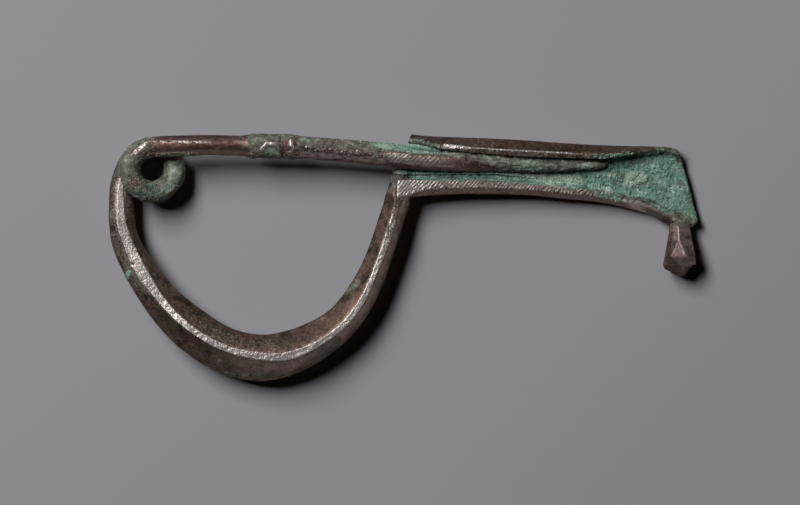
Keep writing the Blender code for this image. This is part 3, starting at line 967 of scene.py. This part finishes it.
# %% Sections of the foot
def foot_corners(shares):
    """The fourteen corners of each J-shaped section; shares run from 0 at the bow to 1 at the end."""
    middle = mix(*FOOT_ENDS, shares)
    slant = mix(*FOOT_SLANTS, shares)
    unfold = ease((middle - UNFOLDS[0]) / (UNFOLDS[1] - UNFOLDS[0]))
    rib, lip = level(RIB_FRONT, middle), level(LIP_FRONT, middle)
    inside = lip - LIP_BEVEL - LIP_THICKNESS
    back = plate_back(middle)
    floor = back + PLATE_THICKNESS

    base, rib_top, top, ridge, edge = (
        functools.partial(level, outline)
        for outline in (FOOT_BASE, RIB_TOP, FOOT_TOP, LIP_RIDGE, LIP_EDGE)
    )
    corners = [
        (lambda x: base(x) + 0.35, back),
        (base, back + 0.5),
        (base, mix(rib - 0.9, floor, unfold)),
        (lambda x: mix(base(x), rib_top(x), level(RIB_BEVEL, x)), rib),
        (rib_top, rib - 0.05),
        (lambda x: rib_top(x) + 0.3, floor),
        (lambda x: mix(top(x) - 1.0, edge(x) - 0.8, unfold), floor),
        (lambda x: mix(top(x) - 0.8, edge(x) - 0.4, unfold), mix(inside, floor + 0.1, unfold)),
        (lambda x: edge(x) - 0.1 * unfold, mix(inside, lip - 0.2, unfold)),
        (edge, lip - LIP_BEVEL * (1 - unfold)),
        (ridge, lip),
        (lambda x: top(x) - 0.05, lip - mix(1.4, 0.25, unfold)),
        (top, back + mix(0.9, 0.4, unfold)),
        (lambda x: top(x) - 0.4, back),
    ]
    rings = []
    for outline, z in corners:
        x = middle
        for _ in range(SLANT_ROUNDS):
            y = outline(x)
            above = y - FOOT_MIDDLE_Y
            x = middle + slant * mix(np.maximum(above, 0.0), above, shares)
        rings.append(np.stack([x, y, z + plate_back(x) - back], axis=1))
    return np.stack(rings, axis=1)


FOOT_STEP = 0.1
FOOT_CUTS = (2, 6, 8, 22, 7, 38, 10, 4, 3, 7, 14, 9, 3, 14)
FOOT_WEAR = (0.3, 0.3, 0.35, 0.2, 0.15, 0.3, 0.4, 0.2, 0.12, 0.12, 0.28, 0.4, 0.3, 0.2)
foot_shares = np.linspace(0, 1, round((FOOT_ENDS[1] - FOOT_ENDS[0]) / FOOT_STEP))
foot_grid, foot_place = round_off(foot_corners(foot_shares), FOOT_WEAR, FOOT_CUTS)
print("the foot has", foot_grid.shape[0], "sections of", foot_grid.shape[1], "points")


# %% Rounded ends
def round_ends(grid, reach, steps=4):
    """The grid with worn ends: rings that shrink along a quarter circle and keep its length."""
    for flip in (False, True):
        if flip:
            grid = grid[::-1]
        inwards = -facing(grid)[0]
        along = grid[1] - grid[0]
        along = along / np.linalg.norm(along, axis=1, keepdims=True)
        added = []
        for step in range(steps):
            angle = math.pi / 2 * step / steps
            shrink = reach * (1 - math.sin(angle))
            forth = reach * (1 - math.cos(angle))
            added.append(grid[0] + inwards * shrink + along * forth)
        keep = np.linalg.norm(grid - grid[0], axis=2).mean(axis=1) > reach
        grid = np.concatenate([np.array(added), grid[keep]])
    return grid[::-1]


END_WEAR = 0.22
foot_grid = round_ends(foot_grid, END_WEAR)
print("with its worn ends it has", foot_grid.shape[0], "sections")

# %% [markdown]
# The high line of the lip is where a thumb slides the pin in, so years of use have ground a narrow
# flat on it. The flat is widest near the mouth of the catch.

# %% The worn flat on the lip
FLAT_DEEP, FLAT_SLIGHT, FLAT_TILT = 0.17, 0.06, 0.25
fx = foot_grid[..., 0]
near_mouth = between(fx, 4.8, 9.4, 1.0)
cut = mix(FLAT_SLIGHT, FLAT_DEEP + 0.1 * (7.0 - fx), near_mouth) * between(fx, 4.0, 27.0, 2.0)
worn = level(LIP_FRONT, fx) - cut - FLAT_TILT * (foot_grid[..., 1] - level(LIP_RIDGE, fx))
on_lip = (foot_place > 8.9) & (foot_place < 11.5)
lowered = np.minimum(foot_grid[..., 2], worn)
foot_grid[..., 2] = np.where(on_lip & (cut > 0), lowered, foot_grid[..., 2])

# %% [markdown]
# The marks of the foot follow its facets. The rib was filed crosswise, and the high edges of the
# strokes are bright. The sheet, the fold and the catch are deep in malachite; the top of the lip is
# smooth and brown; its edge is chipped. The crust in the strip under the pin is pale, and is laid on
# paler still as painted light where the pin's shadow falls. The file strokes and the crust are real
# relief, with the finest grit left to the material.

# %% Where things sit on the foot
BROWN_RIB = [(32.8, 6.65, 3.5, 0.8, -24, 1.0), (37.0, 5.0, 1.0, 0.5, -30, 0.9)]
LIP_GREEN = [
    (2.6, 15.3, 2.4, 0.4, -14, 0.42),
    (0.9, 15.7, 0.3, 0.9, 0, 0.4),
    (28.5, 13.7, 2.6, 0.5, 4, 0.6),
    (35.6, 14.6, 1.9, 0.7, -20, 0.5),
]
RIM_GREY = [
    (2.4, 15.5, 2.6, 0.6, -14, 0.75),
    # Grey crust, and painted light: it lightens the foot's left corner in the shade of the shelf.
    (-0.7, 11.5, 1.5, 1.2, 0, 0.85),
    (38.3, 10.2, 1.1, 5.0, 13.7, 0.7),
    (36.6, 14.5, 2.0, 0.8, -20, 0.9),
    (38.0, 5.2, 2.4, 1.3, -10, 0.95),
]
MOTTLES = [
    (30.4, 10.3, 2.8, 0.9, -14, 0.45),
    (34.2, 7.6, 2.2, 0.6, -30, 0.5),
    (33.5, 13.4, 3.0, 0.6, 14, 0.5),
    (37.8, 5.2, 2.2, 0.8, -12, 0.8),
]
LIP_SHINE = [(7.4, 14.95, 2.1, 0.26, -6, 1.3), (16.5, 14.4, 9.0, 0.14, -3, 1.1)]
EDGE_SHINE = [(35.6, 6.1, 2.2, 0.16, -24, 0.6), (30.0, 7.65, 0.35, 0.25, 0, 0.9)]
FOOT_DARK = [(34.7, 5.6, 2.8, 0.65, -26, 0.65)]
FOOT_CHALK = [
    (31.3, 10.8, 1.5, 1.1, 20, 0.8),
    (27.6, 11.3, 1.7, 0.4, -4, 0.55),
    (3.6, 15.35, 2.5, 0.26, -14, 0.55),
    # Chalky crust, and painted light: it lightens the foot's left corner in the shade of the shelf.
    (-0.4, 11.4, 1.3, 0.7, 0, 0.45),
    (28.6, 13.8, 2.8, 0.3, 5, 0.5),
    (26.5, 9.6, 3.0, 0.4, -14, 0.42),
    (2.3, 11.3, 0.9, 0.4, 0, 0.5),
    (30.0, 7.75, 0.3, 0.2, 0, 0.8),
    (20.5, 9.75, 2.6, 0.3, -8, 0.5),
    (0.95, 15.6, 0.35, 0.9, 20, 0.5),
]
fx, fy = foot_grid[..., 0], foot_grid[..., 1]
everywhere = np.ones_like(fx)
rib_bevel, rib_face, sheltered, lip_edge, lip_top = (
    everywhere * between(foot_place, *facet)
    for facet in ((2, 3, 0.12), (3, 4, 0.12), (4.1, 8, 0.3), (8.1, 10, 0.12), (10, 11, 0.12))
)
brown_rib = spots(foot_grid, BROWN_RIB) * between(foot_place, 1.0, 4.3, 0.3)
past_rib = ease((fx - 23.5) / 4.5) * rib_face
left_rim = between(fy - 0.12 * fx, 10.2, 13.0, 0.6) * ease((1.0 - fx) / 1.6)
rim, mottles, lip_shine = (spots(foot_grid, where) for where in (RIM_GREY, MOTTLES, LIP_SHINE))
fringe = between(fy - level(RIB_TOP, fx), -0.3, 0.6, 0.25) * between(foot_place, 3.0, 8.0, 0.3)
shelf = between(foot_place, 4.8, 5.3, 0.4) * between(fx, -3.0, 24.0, 3.0)
# Real pale crust, laid on paler as painted light where the pin's shadow falls on the strip.
strip_crust_and_painted_light = shelf * ease((fx - 0.4) / 1.6)
chipped = lip_edge * ease((fx - 2.0) / 3.0)
print("the sheltered sheet of the foot has", int((sheltered > 0.5).sum()), "points")

# %% Marks and relief of the foot
filed = rib_face * strokes(foot_grid, 50, 0.3 * bumps(foot_grid, 1.8, 6, octaves=2))
filed *= ease(0.85 + 1.1 * bumps(foot_grid, 1.7, 7, octaves=2))
filed *= (1 - 0.15 * ease((fx - 7.0) / 8.0)) * ease((30.5 - fx) / 4.0)
crumbs = bumps(foot_grid, 0.45, 8)
coarse = bumps(foot_grid, 1.6, 9)

foot_green = most(
    sheltered,
    0.7 * past_rib,
    spots(foot_grid, LIP_GREEN) * (lip_edge + lip_top > 0.1),
    0.6 * fringe * ease((fx - 1.0) / 2.0),
)
foot_green = np.clip(foot_green - brown_rib - 0.5 * rim - 0.5 * mottles, 0, 1)
foot_grey = most(
    rim,
    mottles,
    0.42 * rib_face * ease((fx - 4.0) / 6.0),
    0.25 * rib_bevel * ease((fx - 3.0) / 6.0),
    0.75 * past_rib,
    0.4 * lip_edge,
    0.4 * ease((fx - 27.0) / 4.0) * lip_top,
    0.25 * brown_rib,
)
worn_clean = (1 - np.clip(1.2 * most(lip_shine, filed), 0, 1)) * (1 - 0.6 * brown_rib)
foot_grey = most(foot_grey * worn_clean, 0.8 * left_rim * sheltered)
foot_rubbed = most(
    0.85 * filed,
    0.2 * rib_bevel + 0.1 * lip_top,
    0.7 * brown_rib,
    rib_face * (0.44 + 0.3 * ease((6.5 - fx) / 6.0)) * ease((29.0 - fx) / 9.0),
    0.4 * lip_edge * ease(0.5 + crumbs),
    lip_shine,
)
foot_rubbed *= 0.45 + 0.55 * ease((fx + 1.25) / 0.6)

crust_depth = most(foot_green, rim) * ease((fx - 20.0) / 8.0)
foot_height = 0.03 * bumps(foot_grid, 3.0, 10)
foot_height += 0.04 * np.clip(lip_shine, 0, 1) * bumps(foot_grid, 0.5, 33, octaves=2)
foot_height += 0.035 * filed - 0.02 * rib_face * ease((20.0 - fx) / 8.0)
foot_height += foot_green * 0.05 * crumbs + crust_depth * (0.09 * crumbs + 0.09 * coarse)
foot_height += shelf * (1.0 + 0.15 * coarse + 0.08 * crumbs) * (1 - 0.65 * ease((fx - 13.0) / 7.0))
foot_height += chipped * 0.08 * bumps(foot_grid, 0.42, 11, octaves=2) - 0.08 * brown_rib

foot_green = foot_green * (1 - 0.7 * left_rim)
lip_dark = 0.38 * lip_top * (1 - np.clip(lip_shine, 0, 1))
foot_marks = {
    "rubbed": most(foot_rubbed, spots(foot_grid, EDGE_SHINE)),
    "thin_oxide_and_painted_light": 0.35 * rib_bevel,
    "pits_and_painted_shade": most(lip_dark, spots(foot_grid, FOOT_DARK)),
    "grey": foot_grey,
    "green": foot_green,
    # Painted light: the strip's chalky crust goes beyond full cover to lighten it in the pin's shadow.
    "chalk_and_painted_light": most(spots(foot_grid, FOOT_CHALK), (1.25 + 0.25 * crumbs) * strip_crust_and_painted_light),
}
foot = skin("foot", raise_skin(foot_grid, foot_height), foot_marks, crusted_bronze)

# %% [markdown]
# ## The knob
#
# The foot ends in a small drop with facets: a sharp ridge runs down its neck and opens into a kite
# on the swelling, and the blunt end is bevelled. It has few sections, and its corners are crisp.

# %% The knob
KNOB_HALF_DEPTH = 2.15
KNOB_STEP = 0.08
KNOB_WEAR = (0.09,) * 12

# x, y, height of the middle, half width, half depth, half the ridge, and the ridge's shift.
KNOB = [
    (37.45, 5.4, 1.05, 1.15, 0.4, 0.08, 0.25),
    (37.45, 4.0, 1.4, 1.38, 1.0, 0.08, 0.22),
    (37.45, 2.2, 1.85, 1.67, 1.55, 0.08, 0.15),
    (37.45, 0.0, KNOB_HALF_DEPTH, 2.08, KNOB_HALF_DEPTH, 0.95, 0.3),
    (37.4, -0.95, KNOB_HALF_DEPTH, 2.2, 1.95, 0.1, -0.1),
    (37.6, -1.75, KNOB_HALF_DEPTH, 1.3, 1.3, 0.08, -0.15),
    (37.85, -2.44, KNOB_HALF_DEPTH, 0.35, 0.5, 0.05, -0.1),
]


def knob_rows():
    """The knob's sections, as rod_corners takes them: its sides are low and its facets nearly flat."""
    return [
        (x, y, z, half, depth, ridge, 0.3 * half, 0.35, 0.35, shift)
        for x, y, z, half, depth, ridge, shift in KNOB
    ]


def straight(rows, step):
    """Rows set evenly along straight lines from each row to the next, so that the facets stay flat."""
    out = []
    rows = np.array(rows, float)
    for a, b in itertools.pairwise(rows):
        count = max(1, round(np.linalg.norm(b[:3] - a[:3]) / step))
        out += [mix(a, b, t) for t in np.arange(count) / count]
    return np.array(out + [rows[-1]])


knob_corners = rod_corners(straight(knob_rows(), KNOB_STEP))
knob_grid, knob_place = round_off(knob_corners, KNOB_WEAR, ROD_CUTS)
ky = knob_grid[..., 1]
kite = between(knob_place, 2.0, 3.0, 0.1) * (ky < 2.2)
left_flank = between(knob_place, 0.0, 1.9, 0.2) * np.ones_like(ky)
KNOB_PITS = [
    (38.9, 1.45, 0.13, 0.13, 0, 0.9),
    (36.6, 1.4, 0.13, 0.13, 0, 0.8),
    (36.6, 0.35, 0.12, 0.15, 0, 0.6),
    (38.6, 2.9, 0.1, 0.12, 0, 0.7),
    (38.9, 0.3, 0.3, 0.1, 10, 0.5),
]
NECK_LINE = [(37.25, 3.3, 0.11, 1.15, 3, 0.95)]
KITE_EDGE = [(37.74, 1.2, 0.16, 1.25, 20, 0.6)]
knob_pits, neck_line, kite_edge = (
    spots(knob_grid, where) for where in (KNOB_PITS, NECK_LINE, KITE_EDGE)
)
knob_height = 0.015 * bumps(knob_grid, 1.6, 12) + 0.008 * bumps(knob_grid, 0.4, 13) - 0.08 * knob_pits
knob_marks = {
    "rubbed": most(neck_line, kite_edge),
    "thin_oxide_and_painted_light": 0.3 * kite,
    "pits_and_painted_shade": most(0.9 * knob_pits, 0.35 * ease((-0.9 - ky) / 0.3), 0.3 * left_flank),
    "grey": 0.6 * ease((ky - 3.6) / 1.2) * (1 - neck_line),
    "green": 0.3 * ease((ky - 4.2) / 1.0),
}
skin("knob", raise_skin(knob_grid, knob_height), knob_marks, faceted_bronze)

# %% [markdown]
# ## The crust between pin and catch
#
# Where the pin enters the catch the green crust has grown across the gap and ties the two together.
# It is a lump of mineral, so its sections are plain circles along a short path, roughened.

# %% The crust in the gap
# x, y, height of the middle and radius.
BRIDGE = [
    (0.2, 15.1, 4.65, 0.12),
    (0.9, 15.05, 4.75, 0.42),
    (2.1, 14.88, 4.78, 0.52),
    (3.3, 14.7, 4.72, 0.5),
    (4.3, 14.5, 4.66, 0.36),
    (5.0, 14.4, 4.6, 0.1),
]
BRIDGE_SIDES = 20
BRIDGE_STEP = 0.12
bridge_path = through(BRIDGE, BRIDGE_STEP)
turns = np.arange(BRIDGE_SIDES) * 2 * math.pi / BRIDGE_SIDES
ring = np.stack([np.zeros(BRIDGE_SIDES), np.cos(turns), np.sin(turns)], axis=1)
bridge_grid = bridge_path[:, None, :3] + bridge_path[:, None, 3:] * ring
bridge_height = 0.12 * bumps(bridge_grid, 0.6, 21) * bridge_path[:, 3:] / 0.5
bridge_marks = {
    "green": np.ones(bridge_grid.shape[:2]),
    "chalk_and_painted_light": 0.45 + 0.2 * bumps(bridge_grid, 0.5, 22),
}
skin("verdigris_bridge", raise_skin(bridge_grid, bridge_height), bridge_marks, crusted_bronze)

# %% [markdown]
# ## Grains of malachite and dirt
#
# Malachite grows in little balls, and dirt cakes between them. The largest are big enough to see
# one by one. They repeat by the thousand, so Geometry Nodes scatter them: points on the faces of a
# piece, more of them where the crust is marked, and a small ball of a few faces on each. Each lies
# half sunk in the crust, as it grew.


# %% The tree that scatters grains
FULL_TURN = 6.283


def grain_tree():
    tree, given = new_tree(
        "scatter grains on a crust",
        (
            ("Grains Per Square Metre", "NodeSocketFloat", 14e6),
            ("Smallest", "NodeSocketFloat", 0.05 * MM),
            ("Largest", "NodeSocketFloat", 0.15 * MM),
            ("Seed", "NodeSocketInt", 4),
        ),
    )
    seed = given["Seed"]
    crust = add(tree, "GeometryNodeInputNamedAttribute", {"Name": "grains"})
    density = add(
        tree, "ShaderNodeMath", {0: given["Grains Per Square Metre"], 1: crust}, operation="MULTIPLY"
    )
    points = add(
        tree,
        "GeometryNodeDistributePointsOnFaces",
        {"Mesh": given["Mesh"], "Density": density, "Seed": seed},
    )
    ball = add(tree, "GeometryNodeMeshIcoSphere", {})
    size = add(
        tree, "FunctionNodeRandomValue", {2: given["Smallest"], 3: given["Largest"], "Seed": seed}
    )
    turned = add(
        tree, "FunctionNodeRandomValue", {1: (FULL_TURN,) * 3, "Seed": seed}, data_type="FLOAT_VECTOR"
    )
    placed = add(
        tree,
        "GeometryNodeInstanceOnPoints",
        {"Points": points, "Instance": ball, "Rotation": turned, "Scale": size},
    )
    end_tree(tree, placed, given["Material"])
    return tree


grains_everywhere = grain_tree()


def scatter(name, piece, where, material, seed, largest):
    """Grains of a mineral on a piece, as many as where says for each of its points."""
    store(piece.data, "grains", np.clip(where, 0, 2))
    values = {"Seed": seed, "Largest": largest * MM, "Material": material}
    finish_piece(name, run_tree(grains_everywhere, piece.data, values))


# %% The minerals of the grains
CLOUD_SIZE = 1.5


def mineral(name, stops):
    """A matt mineral; its clouds run from CLOUD_SIZE down to the size of a grain, so shades vary."""
    material = bpy.data.materials.new(name)
    material.use_nodes = True
    tree = material.node_tree
    place = add(tree, "ShaderNodeTexCoord", {}).outputs["Object"]
    clouds = {"Vector": place, "Scale": per_mm(CLOUD_SIZE), "Detail": 5.0, "Roughness": 0.7}
    cloud = add(tree, "ShaderNodeTexNoise", clouds)
    ramp = set_ramp(add(tree, "ShaderNodeValToRGB", {"Fac": cloud}), stops)
    shader = tree.nodes["Principled BSDF"]
    tree.links.new(ramp.outputs["Color"], shader.inputs["Base Color"])
    shader.inputs["Roughness"].default_value = MATT_MINERAL
    return material


# Malachite grains: a pale, powdery green that sparkles white where a grain is chalky.
malachite_grains = mineral(
    "malachite grains, mint to chalky white",
    ((0.34, "#4a6a5a"), (0.47, "#7ba28e"), (0.57, "#b1c9ba"), (0.66, "#e4ece4")),
)
# Caked dirt: a dull grey olive with cream specks, rough as dried mud.
dirt_grains = mineral(
    "caked dirt and lime, olive to cream",
    ((0.34, "#42443a"), (0.47, "#6f7264"), (0.57, "#a4a797"), (0.66, "#dcdccf")),
)

# %% Grains on the foot and on the wire
FOOT_GRAINS = [
    (31.4, 10.9, 1.6, 1.1, 20, 1.6),
    (26.0, 9.7, 4.5, 0.5, -14, 1.3),
    (28.6, 13.8, 3.2, 0.45, 5, 1.3),
    (3.4, 15.3, 2.2, 0.4, -12, 0.2),
    (38.0, 5.6, 2.2, 1.2, -10, 0.3),
]
MINT_GRAINS = [(-31.3, 9.8, 1.0, 0.7, 30, 0.4), (0.6, 14.7, 4.8, 0.6, -7, 1.0)]
DIRT_GRAINS = [
    (-30.2, 14.0, 2.8, 0.35, 0, 1.2),
    (-32.6, 9.3, 1.9, 1.0, 25, 0.9),
    (18.0, 12.6, 8.0, 0.9, -1, 0.5),
]
clustered = 0.35 + 0.9 * ease(0.5 + 1.1 * bumps(foot_grid, 1.5, 31, octaves=2))
on_plate = foot_green * ease((fx - 17.0) / 6.0)
on_foot = most(0.8 * on_plate * (1 - rim), strip_crust_and_painted_light, spots(foot_grid, FOOT_GRAINS))
scatter("malachite_on_foot", foot, on_foot * clustered, malachite_grains, 4, 0.14)
in_front = wire_normals[:, 2] > -0.2
on_wire = spots(wire_points, MINT_GRAINS) * in_front
scatter("malachite_on_wire", spring_and_pin, on_wire, malachite_grains, 7, 0.13)
wire_dirt = most(
    spots(wire_points, DIRT_GRAINS),
    0.5 * in_spring,
    0.3 * lump * (1 - scar) * (1 - dimple),
    0.25 * crusted_top * (1 - bark),
    crust_border,
)
wire_dirt *= in_front * (1 - painted_highlight_line)
scatter("dirt_on_wire", spring_and_pin, wire_dirt, dirt_grains, 11, 0.1)

# %% [markdown]
# ## Ground, light and camera
#
# The brooch lies on a pale sheet. One soft lamp stands at the upper left, and the walls of the
# studio show in the metal. The camera looks straight down, as a museum catalogue shows such a
# brooch.

# %% The pale ground
GROUND_HALF = 600
corner = GROUND_HALF * MM
ground_mesh = bpy.data.meshes.new("ground")
square = [(-corner, -corner, 0), (corner, -corner, 0), (corner, corner, 0), (-corner, corner, 0)]
ground_mesh.from_pydata(square, [], [(0, 1, 2, 3)])
# Matt paper: an even, faintly blue grey without any shine, so that only the shadow draws on it.
paper = bpy.data.materials.new("pale matt paper")
paper.use_nodes = True
matt = {"Base Color": colour("#abaaaf"), "Roughness": 0.95, "Specular IOR Level": 0.0}
for name, value in matt.items():
    paper.node_tree.nodes["Principled BSDF"].inputs[name].default_value = value
ground_mesh.materials.append(paper)
ground = bpy.data.objects.new("ground", ground_mesh)
bpy.context.scene.collection.objects.link(ground)
print("the ground is", 2 * GROUND_HALF, "mm wide")


# %% The lamp
def softbox(name, lean, distance, sides, power):
    """A lamp aimed at the brooch; lean is how far to the right and behind it stands per step up."""
    light = bpy.data.lights.new(name, "AREA")
    light.shape = "RECTANGLE"
    light.size, light.size_y = sides
    light.energy = power
    lamp = bpy.data.objects.new(name, light)
    towards = Vector((*lean, 1.0)).normalized()
    length = (Vector((0, 1, 0)) - towards * towards.y).normalized()
    lamp.matrix_world = Matrix((length, towards.cross(length), towards)).transposed().to_4x4()
    lamp.location = towards * distance
    bpy.context.scene.collection.objects.link(lamp)


softbox("softbox at the upper left", (-0.7, 0.66), 0.9, (0.54, 0.28), 7.2)

# %% [markdown]
# Metal shows what it reflects. The walls of the studio are dim, but they are brightest low down,
# and the facets that face away from the lamp mirror just that part. So the surroundings are seen
# in reflections only, and the shadow on the sheet stays as deep as a single lamp makes it.

# %% The studio around it
WALLS, CEILING = 0.42, 0.06
BRIGHTER_SIDE = (1.0, -0.1, 0.0)
world = bpy.data.worlds.new("studio")
world.use_nodes = True
tree = world.node_tree
direction = add(tree, "ShaderNodeTexCoord", {}).outputs["Generated"]
upwards = add(tree, "ShaderNodeSeparateXYZ", {0: direction}).outputs["Z"]
height = add(tree, "ShaderNodeMapRange", {0: upwards, 1: 0.05, 2: 0.75, 3: WALLS, 4: CEILING})
aside = add(tree, "ShaderNodeVectorMath", {0: direction, 1: BRIGHTER_SIDE}, operation="DOT_PRODUCT")
strength = add(tree, "ShaderNodeMath", {0: aside, 1: height, 2: height}, operation="MULTIPLY_ADD")
tree.links.new(strength.outputs[0], tree.nodes["Background"].inputs["Strength"])
tree.nodes["Background"].inputs["Color"].default_value = colour("#ffffff")
world.cycles_visibility.diffuse = False
bpy.context.scene.world = world
bpy.context.scene.view_settings.view_transform = "Standard"

# %% The camera
CAMERA_HEIGHT = 0.8
SEEN_WIDTH = 108.29
SEEN_PLANE = 3.0
SEEN_CENTRE = (-0.474, 0.677)
lens = bpy.data.cameras.new("straight above")
lens.sensor_width = 36
lens.lens = lens.sensor_width * CAMERA_HEIGHT / (SEEN_WIDTH * MM)
camera = bpy.data.objects.new("straight above", lens)
camera.location = (SEEN_CENTRE[0] * MM, SEEN_CENTRE[1] * MM, CAMERA_HEIGHT + SEEN_PLANE * MM)
bpy.context.scene.collection.objects.link(camera)
bpy.context.scene.camera = camera

# %% The end
bpy.context.view_layer.update()
